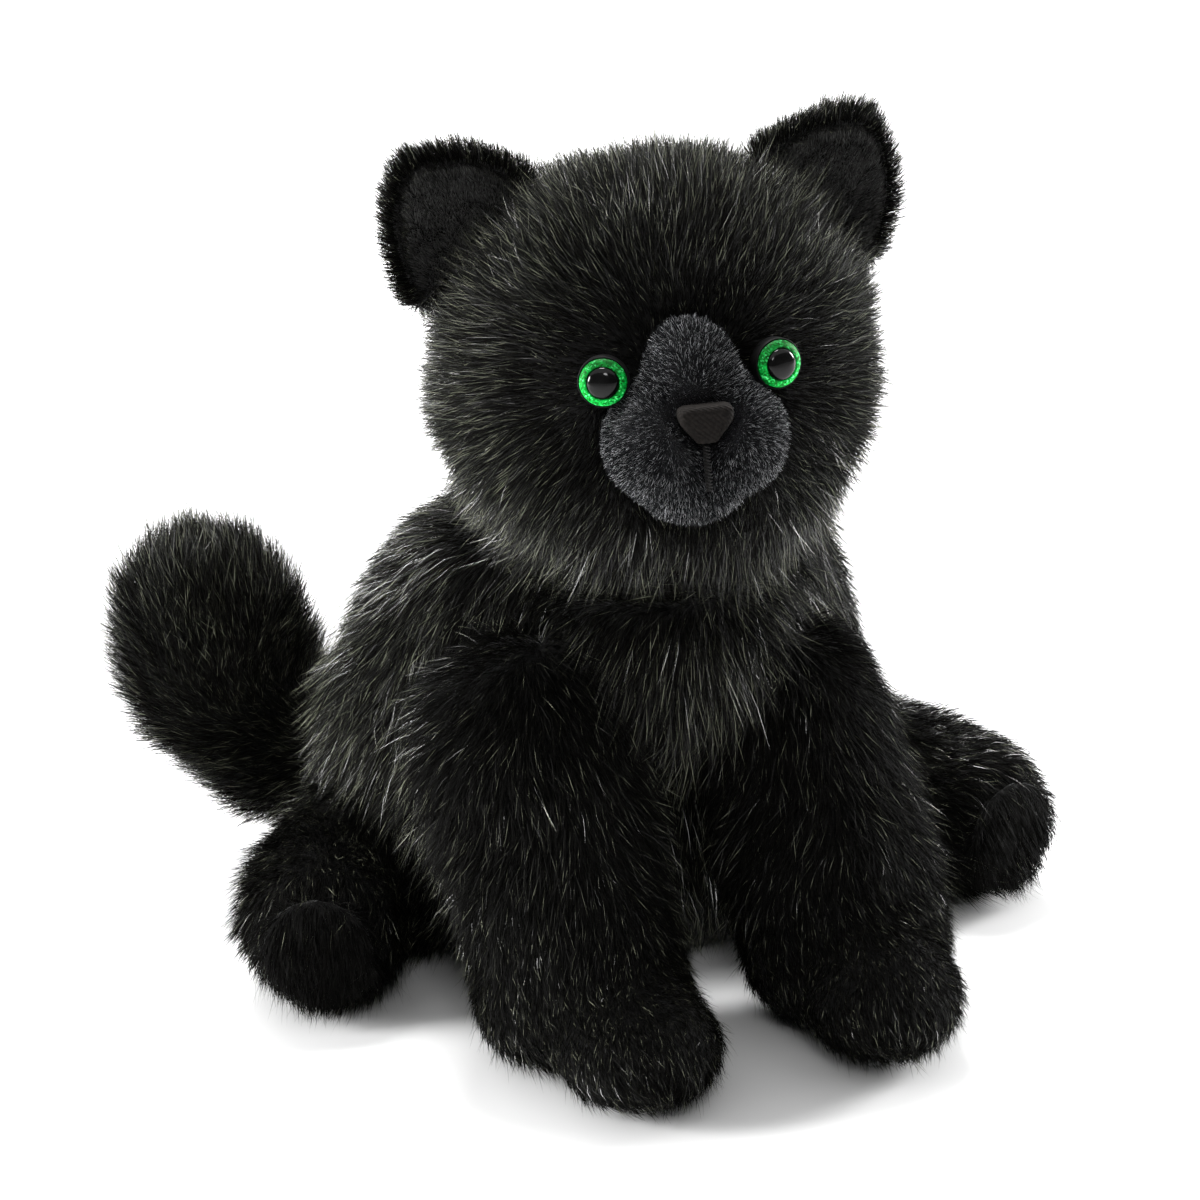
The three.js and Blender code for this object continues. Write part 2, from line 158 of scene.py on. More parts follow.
lamps = {
    "overhead": {"at": (0.02, 0.3, 1.1), "size": 0.35, "power": 17},
    "leftSide": {"at": (-1.15, 0.15, 0.38), "size": 0.45, "power": 30},
    "rightSide": {"at": (1.15, 0.1, 0.4), "size": 0.45, "power": 28},
    "back": {"at": (-0.1, 1.2, 0.6), "size": 0.5, "power": 26},
    "front": {"at": (-0.25, -1.2, 0.85), "size": 0.3, "power": 4.5},
}
sky = {"from": (0.05, 0.25, 1.0), "spread": 130, "power": 2.8}
lampTarget = (0, -0.03, 0.12)


def placeLamps():
    for name, lamp in lamps.items():
        data = bpy.data.lights.new(name, "AREA")
        data.shape = "DISK"
        data.size = lamp["size"]
        data.energy = lamp["power"]
        made = newObject(name, data)
        made.location = lamp["at"]
        aim = Vector(lampTarget) - Vector(lamp["at"])
        made.rotation_euler = aim.to_track_quat("-Z", "Y").to_euler()
    data = bpy.data.lights.new("sky", "SUN")
    data.energy = sky["power"]
    data.angle = math.radians(sky["spread"])
    made = newObject("sky", data)
    made.rotation_euler = (-Vector(sky["from"])).to_track_quat("-Z", "Y").to_euler()


floorLook = {
    "colour": (0.7, 0.7, 0.7, 1), "roughness": 0.8, "half": 4,
    "sky": (1, 1, 1, 1), "skyPower": 0.08,
}


def placeFloor():
    half = floorLook["half"]
    mesh = bpy.data.meshes.new("floor")
    corners = [(-half, -half, 0), (half, -half, 0), (half, half, 0), (-half, half, 0)]
    mesh.from_pydata(corners, [], [(0, 1, 2, 3)])
    floor = newObject("floor", mesh)
    material = bpy.data.materials.new("paleFloor")
    material.use_nodes = True
    shader = material.node_tree.nodes["Principled BSDF"]
    shader.inputs["Base Color"].default_value = floorLook["colour"]
    shader.inputs["Roughness"].default_value = floorLook["roughness"]
    mesh.materials.append(material)
    world = bpy.data.worlds.new("studio")
    world.use_nodes = True
    background = world.node_tree.nodes["Background"]
    background.inputs["Color"].default_value = floorLook["sky"]
    background.inputs["Strength"].default_value = floorLook["skyPower"]
    scene.world = world


scene.view_settings.view_transform = "Standard"
placeCamera()
placeLamps()
placeFloor()
print("stage: camera, lights and floor")


def newMaterial(name):
    material = bpy.data.materials.new(name)
    material.use_nodes = True
    tree = material.node_tree
    return material, tree, tree.nodes["Principled BSDF"]


def addNode(tree, kind, links=None, **settings):
    node = tree.nodes.new(kind)
    for key, value in settings.items():
        setattr(node, key, value)
    for key, source in (links or {}).items():
        if isinstance(source, bpy.types.NodeSocket):
            tree.links.new(source, node.inputs[key])
        else:
            node.inputs[key].default_value = source
    return node


def ramp(tree, source, stops):
    node = addNode(tree, "ShaderNodeValToRGB", {"Fac": source})
    elements = node.color_ramp.elements
    while len(elements) < len(stops):
        elements.new(0.5)
    for element, (place, colour) in zip(elements, stops):
        element.position = place
        element.color = (*colour, 1)
    return node.outputs["Color"]


def setShader(shader, values):
    for key, value in values.items():
        shader.inputs[key].default_value = value


def objectPlace(tree):
    return addNode(tree, "ShaderNodeTexCoord").outputs["Object"]


def fibreNoise(tree, scale, detail):
    links = {"Vector": objectPlace(tree), "Scale": scale, "Detail": detail}
    return addNode(tree, "ShaderNodeTexNoise", links).outputs["Fac"]


def raiseFibres(tree, shader, height, strength, depth):
    links = {"Height": height, "Strength": strength, "Distance": depth}
    bump = addNode(tree, "ShaderNodeBump", links)
    tree.links.new(bump.outputs["Normal"], shader.inputs["Normal"])


strandUv = "strandUv"
shadeSteps = 220.0  # how fast the shade changes from one strand's place on the map to the next


# Pile: each strand has its own place across the map, and runs from root to tip along it.
def pileMaterial(name, look):
    material, tree, shader = newMaterial(name)
    place = addNode(tree, "ShaderNodeUVMap", uv_map=strandUv)
    parts = addNode(tree, "ShaderNodeSeparateXYZ", {"Vector": place.outputs["UV"]})
    # Painted shade and glints: along each strand the colour is darker towards the root, deep in the
    # pile, and guard hairs get a bright painted glint part way along.
    length = ramp(tree, parts.outputs["Y"], look["paintedShadingAlongStrand"])
    spread = addNode(tree, "ShaderNodeTexNoise",
                     {"W": parts.outputs["X"], "Scale": shadeSteps, "Detail": 0.0},
                     noise_dimensions="1D")
    # The tone differs at random from strand to strand; the lightest guard and short-pile strands are
    # painted glints.
    shade = ramp(tree, spread.outputs["Fac"], look["strandShades"])
    mixed = addNode(tree, "ShaderNodeMix", {0: 1.0, 6: length, 7: shade},
                    data_type="RGBA", blend_type="MULTIPLY")
    tree.links.new(mixed.outputs[2], shader.inputs["Base Color"])
    setShader(shader, look["shader"])
    return material


# Knitted backing under the pile, seen only between the strands.
def backingMaterial(name, look):
    material, tree, shader = newMaterial(name)
    fibre = fibreNoise(tree, look["fibreScale"], 3.0)
    shade = ramp(tree, fibre, [(0.35, look["dark"]), (0.7, look["light"])])
    tree.links.new(shade, shader.inputs["Base Color"])
    raiseFibres(tree, shader, fibre, 0.6, 0.0006)
    setShader(shader, {"Roughness": 0.95, "Specular IOR Level": 0.15, "Sheen Weight": 0.1})
    return material


# Under pile: darker towards the root, painted shade deep in the pile; the strands differ in tone at
# random.
underPileLook = {
    "paintedShadingAlongStrand": [(0.0, (0.2, 0.2, 0.2)), (0.6, (0.6, 0.6, 0.58)), (1.0, (1.0, 1.0, 0.96))],
    "strandShades": [(0.35, (0.0016, 0.0015, 0.0013)), (0.6, (0.004, 0.0039, 0.0033)),
                     (0.74, (0.01, 0.01, 0.0085))],
    "shader": {"Roughness": 0.6, "Specular IOR Level": 0.04},
}
# Guard hairs: darker at the root as painted shade, with a painted glint as a bright band part way
# along; the lightest strands are painted glints too.
guardPileWithGlintsLook = {
    "paintedShadingAlongStrand": [(0.0, (0.05, 0.05, 0.05)), (0.52, (0.16, 0.16, 0.15)), (0.62, (1.0, 1.0, 0.95)),
                    (0.76, (1.0, 1.0, 0.95)), (0.86, (0.25, 0.25, 0.23))],
    "strandShades": [(0.46, (0.006, 0.0062, 0.0047)), (0.58, (0.032, 0.0335, 0.025)),
                     (0.7, (0.34, 0.355, 0.265))],
    "shader": {"Roughness": 0.25, "Specular IOR Level": 0.34},
}
# Short muzzle pile: darker at the root as painted shade; the rare near-white strands are painted
# glints, fine sparkling specks.
shortPileWithGlintsLook = {
    "paintedShadingAlongStrand": [(0.0, (0.15, 0.15, 0.15)), (0.6, (0.6, 0.6, 0.6)), (1.0, (1.0, 1.0, 1.0))],
    "strandShades": [(0.3, (0.0025, 0.0028, 0.0035)), (0.58, (0.0065, 0.007, 0.0088)),
                     (0.72, (0.012, 0.013, 0.0155)), (0.77, (0.9, 0.92, 0.95))],
    "shader": {"Roughness": 0.4, "Specular IOR Level": 0.08},
}
liningLook = {
    "paintedShadingAlongStrand": shortPileWithGlintsLook["paintedShadingAlongStrand"],
    "strandShades": [(0.3, (0.036, 0.036, 0.035)), (0.6, (0.062, 0.062, 0.06)),
                     (0.74, (0.19, 0.19, 0.182))],
    "shader": {"Roughness": 0.5, "Specular IOR Level": 0.08},
}
backingLook = {
    "fibreScale": 900.0, "dark": (0.002, 0.002, 0.002), "light": (0.005, 0.005, 0.0045),
}
shortBackingLook = {
    "fibreScale": 1400.0, "dark": (0.004, 0.004, 0.0045), "light": (0.01, 0.0105, 0.012),
}
coreLook = {"fibreScale": 1200.0, "dark": (0.7, 0.69, 0.66), "light": (0.9, 0.89, 0.86)}
underPile = pileMaterial("underPile", underPileLook)
guardPile = pileMaterial("guardPile", guardPileWithGlintsLook)
shortPile = pileMaterial("shortPile", shortPileWithGlintsLook)
liningPile = pileMaterial("liningPile", liningLook)
backing = backingMaterial("knittedBacking", backingLook)
shortBacking = backingMaterial("shortBacking", shortBackingLook)


noseLook = {
    "fibreScale": 1600.0, "weaveScale": 500.0, "weaveWander": 2.0,
    "shades": [(0.35, (0.004, 0.0034, 0.003)), (0.72, (0.012, 0.01, 0.0088))],
}


# Nose cloth: a dense brushed cloth with a faint weave.
def noseMaterial():
    material, tree, shader = newMaterial("noseCloth")
    fibre = fibreNoise(tree, noseLook["fibreScale"], 4.0)
    weave = addNode(tree, "ShaderNodeTexWave",
                    {"Vector": objectPlace(tree), "Scale": noseLook["weaveScale"],
                     "Distortion": noseLook["weaveWander"]},
                    wave_type="BANDS", bands_direction="DIAGONAL")
    tree.links.new(ramp(tree, fibre, noseLook["shades"]), shader.inputs["Base Color"])
    height = addNode(tree, "ShaderNodeMath", {0: fibre, 1: weave.outputs["Fac"]}, operation="ADD")
    raiseFibres(tree, shader, height.outputs[0], 0.5, 0.0003)
    setShader(shader, {"Roughness": 0.8, "Specular IOR Level": 0.08})
    return material


def threadMaterial():
    material, tree, shader = newMaterial("mouthThread")
    fibre = fibreNoise(tree, 2400.0, 2.0)
    shade = ramp(tree, fibre, [(0.35, (0.004, 0.004, 0.004)), (0.7, (0.013, 0.012, 0.011))])
    tree.links.new(shade, shader.inputs["Base Color"])
    setShader(shader, {"Roughness": 0.6, "Specular IOR Level": 0.4})
    return material


irisLook = {
    "flakeScale": 2600.0, "paintedBottomLight": 1.9, "paintedTopShade": 0.25,
    "flakes": [(0.0, (0.0, 0.06, 0.004)), (0.45, (0.0, 0.2, 0.02)), (0.85, (0.0, 0.42, 0.05)),
               (1.0, (0.1, 0.8, 0.25))],
}


# Iris: green glitter, with painted light brightening it at the bottom and painted shade darkening it
# at the top.
def irisMaterial():
    material, tree, shader = newMaterial("greenGlitter")
    place = objectPlace(tree)
    flake = addNode(tree, "ShaderNodeTexVoronoi", {"Vector": place, "Scale": irisLook["flakeScale"]})
    shine = addNode(tree, "ShaderNodeSeparateColor", {"Color": flake.outputs["Color"]})
    shade = ramp(tree, shine.outputs["Red"], irisLook["flakes"])
    height = addNode(tree, "ShaderNodeSeparateXYZ", {"Vector": place})
    low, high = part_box("eye_iris_left")
    # Painted light and shade: the glitter is scaled up towards the bottom of the iris and down
    # towards its top.
    fade = addNode(tree, "ShaderNodeMapRange", {
        "Value": height.outputs["Z"], "From Min": low[2], "From Max": high[2],
        "To Min": irisLook["paintedBottomLight"], "To Max": irisLook["paintedTopShade"],
    })
    lit = addNode(tree, "ShaderNodeVectorMath", {0: shade, "Scale": fade.outputs["Result"]},
                  operation="SCALE")
    tree.links.new(lit.outputs[0], shader.inputs["Base Color"])
    setShader(shader, {"Metallic": 0.0, "Roughness": 0.5, "Specular IOR Level": 0.1})
    return material


def glossMaterial(name, dark, light, roughness, shine):
    material, tree, shader = newMaterial(name)
    shade = ramp(tree, fibreNoise(tree, 300.0, 2.0), [(0.3, dark), (0.7, light)])
    tree.links.new(shade, shader.inputs["Base Color"])
    setShader(shader, {"Roughness": roughness, "Specular IOR Level": shine})
    return material


noseCloth = noseMaterial()
mouthThread = threadMaterial()
greenGlitter = irisMaterial()
pupilBlack = glossMaterial("pupilBlack", (0.002, 0.002, 0.002), (0.004, 0.004, 0.004), 0.09, 0.2)
cupBlack = glossMaterial("cupBlack", (0.003, 0.003, 0.003), (0.006, 0.006, 0.006), 0.5, 0.1)
washerWhite = glossMaterial("washerWhite", (0.72, 0.72, 0.7), (0.85, 0.85, 0.82), 0.5, 0.5)
coreCloth = backingMaterial("coreCloth", coreLook)
print("stage: materials")


# Each form is the outer shape of its nodes, taken in for the pile, then puffed as stuffed cloth.
# Voxel is the grid, takeIn how far the skin goes in and cap how far it may puff, all in mm.
legCloth = {"slot": "long_pile", "voxel": 4.0, "takeIn": 3.0, "cap": 2.5, "fill": 0.8}
earCloth = {"slot": "long_pile", "voxel": 1.3, "takeIn": 1.3, "cap": 0.6, "fill": 0.3}
liningCloth = {"slot": "short_pile", "voxel": 0.7, "takeIn": 0.1, "cap": 0.4, "fill": 0.2}
soleCloth = {"slot": "short_pile", "voxel": 0.9, "takeIn": 0.1, "cap": 0.8, "fill": 0.4}


def legForm(leg, side):
    skins = [leg + "_skin_" + side, leg + "_filling_" + side]
    return {"from": skins, "rides": leg + "_" + side, **legCloth}


forms = {
    "body": {"from": ["body_skin", "body_filling", "pellet_bag"], "rides": "body",
             "slot": "long_pile", "voxel": 4.5, "takeIn": 4.2, "cap": 3.0, "fill": 0.8},
    "head": {"from": ["head_skin", "head_filling"], "rides": "head",
             "slot": "long_pile", "voxel": 4.0, "takeIn": 3.8, "cap": 3.0, "fill": 0.85},
    "front_leg_right": legForm("front_leg", "right"),
    "front_leg_left": legForm("front_leg", "left"),
    "hind_leg_right": legForm("hind_leg", "right"),
    "hind_leg_left": legForm("hind_leg", "left"),
    "tail": {"from": ["tail_skin", "tail_filling"], "rides": "tail",
             "slot": "long_pile", "voxel": 4.0, "takeIn": 3.5, "cap": 3.0, "fill": 0.7},
    "muzzle": {"from": ["muzzle_skin", "muzzle_filling"], "rides": "head",
               "slot": "short_pile", "voxel": 1.6, "takeIn": 1.6, "cap": 0.8, "fill": 0.85},
    "ear_left": {"from": ["ear_back_left"], "rides": "ear_left", **earCloth},
    "ear_right": {"from": ["ear_back_right"], "rides": "ear_right", **earCloth},
    "ear_lining_left": {"from": ["ear_lining_left"], "rides": "ear_left", **liningCloth},
    "ear_lining_right": {"from": ["ear_lining_right"], "rides": "ear_right", **liningCloth},
    "hind_sole_left": {"from": ["hind_sole_left"], "rides": "hind_leg_left", **soleCloth},
    "hind_sole_right": {"from": ["hind_sole_right"], "rides": "hind_leg_right", **soleCloth},
    "nose": {"from": ["nose"], "rides": "head", "slot": "nose_cloth",
             "voxel": 0.55, "takeIn": 0.3, "cap": 0.5, "fill": 0.8, "finer": True},
    "neck_core": {"from": ["neck_core"], "rides": "neck", "slot": "filling",
                  "voxel": 2.5, "takeIn": 0.8, "cap": 0.6, "fill": 0.9},
}
puff = {"pressure": 4.0, "frames": 20, "tension": 12.0, "mass": 0.3}


def joinedCopy(name, nodeNames):
    work = bmesh.new()
    for node in nodeNames:
        work.from_mesh(nodes[node].data)
    bmesh.ops.remove_doubles(work, verts=work.verts, dist=1e-5)
    mesh = bpy.data.meshes.new(name)
    work.to_mesh(mesh)
    work.free()
    mesh.materials.clear()
    return mesh


def keepLargest(mesh):
    work = bmesh.new()
    work.from_mesh(mesh)
    work.verts.ensure_lookup_table()
    seen = [False] * len(work.verts)
    groups = []
    for start in work.verts:
        if seen[start.index]:
            continue
        seen[start.index] = True
        group, queue = [start], [start]
        while queue:
            vertex = queue.pop()
            for edge in vertex.link_edges:
                other = edge.other_vert(vertex)
                if not seen[other.index]:
                    seen[other.index] = True
                    group.append(other)
                    queue.append(other)
        groups.append(group)
    groups.sort(key=len)
    for group in groups[:-1]:
        bmesh.ops.delete(work, geom=group, context="VERTS")
    work.to_mesh(mesh)
    work.free()


def startForm(name, form):
    made = newObject(name, joinedCopy(name, form["from"]))
    voxels = made.modifiers.new("voxels", "REMESH")
    voxels.mode = "VOXEL"
    voxels.voxel_size = form["voxel"] * millimetre
    smooth = made.modifiers.new("smooth", "SMOOTH")
    smooth.factor = 0.5
    smooth.iterations = 8
    mesh = bakeModifiers(made)
    keepLargest(mesh)
    mesh.update()
    return made


def treesOf(objects):
    found = {}
    for name, obj in objects.items():
        work = bmesh.new()
        work.from_mesh(obj.data)
        found[name] = BVHTree.FromBMesh(work)
        work.free()
    return found


widestRoom = 0.014


# Clear distance from each point of a form to the forms of other bodies.
def roomAround(name, points, trees):
    room = np.full(len(points), widestRoom)
    for other, tree in trees.items():
        if forms[other]["rides"] == forms[name]["rides"] or other == "neck_core":
            continue
        for k, point in enumerate(points):
            found = tree.find_nearest(Vector(point), room[k])
            if found[0] is not None:
                room[k] = min(room[k], found[3])
    return room


seatHeight = 0.4 * millimetre


# A skin goes in less where it presses on another body, so that the seam stays closed.
def takeIn(mesh, form, room):
    share = np.clip(0.1 + room / 0.012, 0.15, 1)[:, None]
    points = readPoints(mesh) - readNormals(mesh) * share * form["takeIn"] * millimetre
    points[:, 2] = np.maximum(points[:, 2], seatHeight)
    writePoints(mesh, points)


def addCloth(made):
    cloth = made.modifiers.new("puff", "CLOTH")
    cloth.settings.mass = puff["mass"]
    cloth.settings.tension_stiffness = puff["tension"]
    cloth.settings.compression_stiffness = puff["tension"]
    cloth.settings.use_pressure = True
    cloth.settings.uniform_pressure_force = puff["pressure"]
    cloth.settings.effector_weights.gravity = 0
    cloth.settings.quality = 4
    cloth.collision_settings.use_collision = False
    cloth.point_cache.frame_start = 1
    cloth.point_cache.frame_end = puff["frames"]


def finishForm(made, form, before, puffed):
    moved = puffed - before
    far = np.linalg.norm(moved, axis=1, keepdims=True)
    cap = form["cap"] * millimetre
    kept = before + moved * np.minimum(1, cap / np.maximum(far, 1e-9))
    kept[:, 2] = np.maximum(kept[:, 2], seatHeight)
    writePoints(made.data, kept)
    smooth = made.modifiers.new("settle", "SMOOTH")
    smooth.factor = 0.5
    smooth.iterations = 4
    if form.get("finer"):
        finer = made.modifiers.new("finer", "SUBSURF")
        finer.levels = 1
        finer.render_levels = 1
    bakeModifiers(made)
    shadeSmooth(made.data)


made = {name: startForm(name, form) for name, form in forms.items()}
trees = treesOf(made)
rooms = {name: roomAround(name, readPoints(obj.data), trees) for name, obj in made.items()}
for name, obj in made.items():
    takeIn(obj.data, forms[name], rooms[name])
print("stage: forms remeshed", {name: len(obj.data.vertices) for name, obj in made.items()})
noseTree = treesOf({"nose": made["nose"]})["nose"]
# depths and widths in mm
faceSeam = {"nose": 1.3, "noseWidth": 2.2, "mouth": 1.6, "mouthWidth": 1.5}


# The muzzle cloth is drawn in round the nose and along the mouth stitch.
def drawInFace(mesh):
    points, normals = readPoints(mesh), readNormals(mesh)
    toNose = np.array([noseTree.find_nearest(Vector(point))[3] for point in points])
    low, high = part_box("mouth_thread")
    across = points[:, 0] - (low[0] + high[0]) / 2
    below = fall(points[:, 2], high[2] + 0.001, 0.002) * (points[:, 1] < high[1] + 0.004)
    nearNose = np.exp(-(toNose / (faceSeam["noseWidth"] * millimetre)) ** 2)
    nearMouth = np.exp(-(across / (faceSeam["mouthWidth"] * millimetre)) ** 2)
    inward = faceSeam["nose"] * nearNose + faceSeam["mouth"] * nearMouth * below
    writePoints(mesh, points - normals * inward[:, None] * millimetre)


drawInFace(made["muzzle"].data)
before = {name: readPoints(obj.data) for name, obj in made.items()}
puffed = dict(before)
for obj in made.values():
    addCloth(obj)
for step in range(1, puff["frames"] + 1):
    scene.frame_set(step)
depsgraph = bpy.context.evaluated_depsgraph_get()
for name, obj in made.items():
    puffed[name] = readPoints(obj.evaluated_get(depsgraph).data)
    obj.modifiers.clear()
scene.frame_set(1)
farthest = {name: float(np.abs(puffed[name] - before[name]).max()) for name in made}
print("stage: cloth, mm", {name: round(far / millimetre, 1) for name, far in farthest.items()})
for name, form in forms.items():
    finishForm(made[name], form, before[name], puffed[name])
    made[name].data.materials.clear()
print("stage: forms finished")


trees = treesOf(made)
faceMiddle = np.array(boxMiddle("nose"))
headMiddle = np.array(boxMiddle("head_skin"))
tailPath = np.array([(-14, 46, 32), (-35, 55, 30), (-55, 62, 31), (-72, 66, 37), (-82, 67, 48),
                     (-89, 66, 62), (-92, 66, 78), (-92, 66, 98)]) * millimetre


# Comb directions: which way the pile of each skin lies.
def headWay(points, normals):
    away = unit(points - faceMiddle)
    below = fall(points[:, 2:3], headMiddle[2] + 0.02, 0.05)
    return away + np.array([[-0.1, 0.1, -1.0]]) * below * 0.7


def bodyWay(points, normals):
    return np.array([[-0.22, 0.05, -1.0]]) + 0.25 * normals * [1, 1, 0]


pawTop = 0.045
pawBlend = 0.02


def frontLegWay(points, normals):
    onPaw = fall(points[:, 2:3], pawTop, pawBlend)
    return np.array([[-0.1, 0.0, -1.0]]) * (1 - onPaw) + np.array([[0.0, -0.85, -0.55]]) * onPaw


def hindLegWay(points, normals):
    side = np.sign(points[:, :1].mean())
    return np.array([[0.45 * side, -0.8, -0.35]])


def tailWay(points, normals):
    steps = tailPath[1:] - tailPath[:-1]
    middles = (tailPath[1:] + tailPath[:-1]) / 2
    far = np.linalg.norm(points[:, None] - middles[None], axis=2)
    weight = 1 / (far ** 4 + 1e-9)
    return np.einsum("ps,sk->pk", weight / weight.sum(1, keepdims=True), unit(steps))


def earWay(points, normals):
    side = np.sign(points[:, 0].mean())
    middle = (points.max(0) + points.min(0)) / 2 - [0.004 * side, 0, 0.006]
    return unit(points - middle) * [1, 0.2, 1] + np.array([[0.15 * side, 0.0, 0.35]])


def liningWay(points, normals):
    side = np.sign(points[:, 0].mean())
    return np.tile([0.35 * side, 0.1, 1.0], (len(points), 1))


def muzzleWay(points, normals):
    return unit(points - faceMiddle) + np.array([[0, 0, -0.35]])


def soleWay(points, normals):
    return np.array([[0.1, 0.0, -1.0]])


# Length and width in mm, strands per square mm, lean in degrees. The dense undercoat is shorter
# and dull, the guard hairs over it are longer, finer and shiny, and carry painted glints. Coats of
# many strands are grown in more than one batch.
frontLegPile = {"way": frontLegWay, "length": 11.5, "width": 0.09, "under": 3.0, "guard": 0.5,
                "lean": 60}
hindLegPile = {"way": hindLegWay, "length": 11.0, "width": 0.09, "under": 3.0, "guard": 0.8,
               "lean": 58}
earPile = {"way": earWay, "length": 7.5, "width": 0.09, "under": 8.0, "guard": 4.5, "lean": 34}
earLiningPile = {"way": liningWay, "length": 2.2, "width": 0.09, "lining": 15.0, "lean": 45}
solePile = {"way": soleWay, "length": 7.5, "width": 0.1, "under": 4.0, "lean": 52}
piles = {
    "body": {"way": bodyWay, "length": 13.5, "width": 0.095, "under": 1.9, "batches": 2,
             "guard": 0.85, "lean": 60, "seed": 3},
    "head": {"way": headWay, "length": 12.0, "width": 0.085, "under": 2.6, "batches": 2,
             "guard": 1.35, "lean": 56, "seed": 5},
    "front_leg_right": {**frontLegPile, "seed": 7},
    "front_leg_left": {**frontLegPile, "seed": 9},
    "hind_leg_right": {**hindLegPile, "seed": 11},
    "hind_leg_left": {**hindLegPile, "seed": 13},
    "tail": {"way": tailWay, "length": 15.5, "width": 0.09, "under": 2.6, "guard": 1.4,
             "lean": 50, "seed": 15},
    "ear_left": {**earPile, "seed": 17},
    "ear_right": {**earPile, "seed": 19},
    "muzzle": {"way": muzzleWay, "length": 1.7, "width": 0.08, "short": 12.5, "lean": 36,
               "seed": 21},
    "ear_lining_left": {**earLiningPile, "seed": 23},
    "ear_lining_right": {**earLiningPile, "seed": 25},
    "hind_sole_left": {**solePile, "seed": 27},
    "hind_sole_right": {**solePile, "seed": 29},
}
coats = {
    "under": {"length": 0.8, "width": 1.2, "lean": 4, "clump": 0.25, "wander": 0.3,
              "seed": 0, "material": underPile},
    "guard": {"length": 1.0, "width": 0.66, "lean": -3, "clump": 0.3, "wander": 0.42,
              "seed": 40, "material": guardPile},
    "short": {"length": 1.0, "width": 1.0, "lean": 0, "clump": 0.12, "wander": 0.32,
              "seed": 0, "material": shortPile},
    "lining": {"length": 1.0, "width": 1.0, "lean": 0, "clump": 0.15, "wander": 0.3,
               "seed": 0, "material": liningPile},
}
batchSeed = 100


def nearness(points, name):
    tree = trees[name]
    return np.array([tree.find_nearest(Vector(point))[3] for point in points])


chestFront = -0.02
eyeTrim = {
    "least": 0.19, "edge": 0.008, "fade": 0.016, "innerWidth": 0.006,
    "inner": {"left": 0.5, "right": 0.22}, "tuft": 0.72, "tuftReach": 0.013,
}


# The pile is clipped short on the face and round the eyes, and the ruff under the chin is longest.
def headShare(points):
    toFace = np.linalg.norm(points - faceMiddle, axis=1)
    share = 0.32 + 0.68 * rise(toFace, 0.018, 0.038)
    for side, inner in eyeTrim["inner"].items():
        eye = np.array(boxMiddle("eye_iris_" + side))
        toEye = np.linalg.norm(points - eye, axis=1)
        atInner = fall(np.abs(points[:, 0]), np.abs(eye[0]), eyeTrim["innerWidth"])
        least = eyeTrim["least"] + (inner - eyeTrim["least"]) * atInner
        clipped = least + (1 - least) * rise(toEye, eyeTrim["edge"], eyeTrim["fade"])
        share = np.minimum(share, clipped)
        if side == "left":
            tuft = (atInner > 0.4) & (toEye < eyeTrim["tuftReach"])
            share = np.where(tuft, eyeTrim["tuft"], share)
    return share * (1 + 0.3 * fall(points[:, 2], headMiddle[2] - 0.012, 0.02))


def lengthShare(name, points, normals):
    if name == "head":
        return headShare(points)
    if name == "body":
        bib = np.exp(-((points[:, 0] - 0.004) / 0.032) ** 2) * rise(points[:, 2], 0.045, 0.03)
        return 1 + 0.45 * bib * (points[:, 1] < chestFront)
    if name.startswith("front_leg"):
        return 0.55 + 0.45 * rise(points[:, 2], 0.03, 0.03)
    if name in ("ear_left", "ear_right"):
        return np.where(normals[:, 1] < -0.6, 0.6, 1.0)
    if name == "muzzle":
        return 0.45 + 0.55 * rise(nearness(points, "nose"), 0, 0.004)
    return np.ones(len(points))


def socketOf(sockets, name):
    return next(s for s in sockets if s.name == name and s.enabled)


class Fields:
    # Short words for the maths that the strand tree needs.
    def __init__(self, tree):
        self.tree = tree

    def node(self, kind, **settings):
        node = self.tree.nodes.new(kind)
        for key, value in settings.items():
            setattr(node, key, value)
        return node

    def put(self, socket, value):
        if isinstance(value, bpy.types.NodeSocket):
            self.tree.links.new(value, socket)
        else:
            socket.default_value = value

    def maths(self, operation, *values):
        node = self.node("ShaderNodeMath", operation=operation)
        for socket, value in zip(node.inputs, values):
            self.put(socket, value)
        return node.outputs[0]

    def vector(self, operation, a, b=None):
        node = self.node("ShaderNodeVectorMath", operation=operation)
        self.put(node.inputs[0], a)
        if operation == "SCALE":
            self.put(node.inputs["Scale"], b)
        elif b is not None:
            self.put(node.inputs[1], b)
        return node.outputs["Vector"]

    def named(self, name, kind):
        node = self.node("GeometryNodeInputNamedAttribute", data_type=kind)
        node.inputs["Name"].default_value = name
        return socketOf(node.outputs, "Attribute")

    def store(self, geometry, name, kind, value, domain="POINT"):
        node = self.node("GeometryNodeStoreNamedAttribute", data_type=kind, domain=domain)
        self.put(node.inputs["Geometry"], geometry)
        node.inputs["Name"].default_value = name
        self.put(socketOf(node.inputs, "Value"), value)
        return node.outputs["Geometry"]

    def random(self, kind, low, high, seed):
        node = self.node("FunctionNodeRandomValue", data_type=kind)
        self.put(socketOf(node.inputs, "Min"), low)
        self.put(socketOf(node.inputs, "Max"), high)
        self.put(socketOf(node.inputs, "Seed"), seed)
        return socketOf(node.outputs, "Value")


strandInputs = {"Density": 1e6, "Length": 0.01, "Width": 0.00016, "Lean": 1.0, "Clump": 0.3,
                "Wander": 0.2}
strandShape = {
    "shortest": 0.55, "longest": 1.2,  # shares of the pile's length
    "slowScale": 55.0, "slowWander": 4.0, "lockScale": 240.0, "roll": 1.25,
    "rootBend": 0.62, "tipBend": 0.38, "lowest": 0.0003,
    "bandWidth": 0.004, "bandSpan": 0.98, "bandEdge": 0.01, "runSpan": 0.96, "runEdge": 0.02,
}


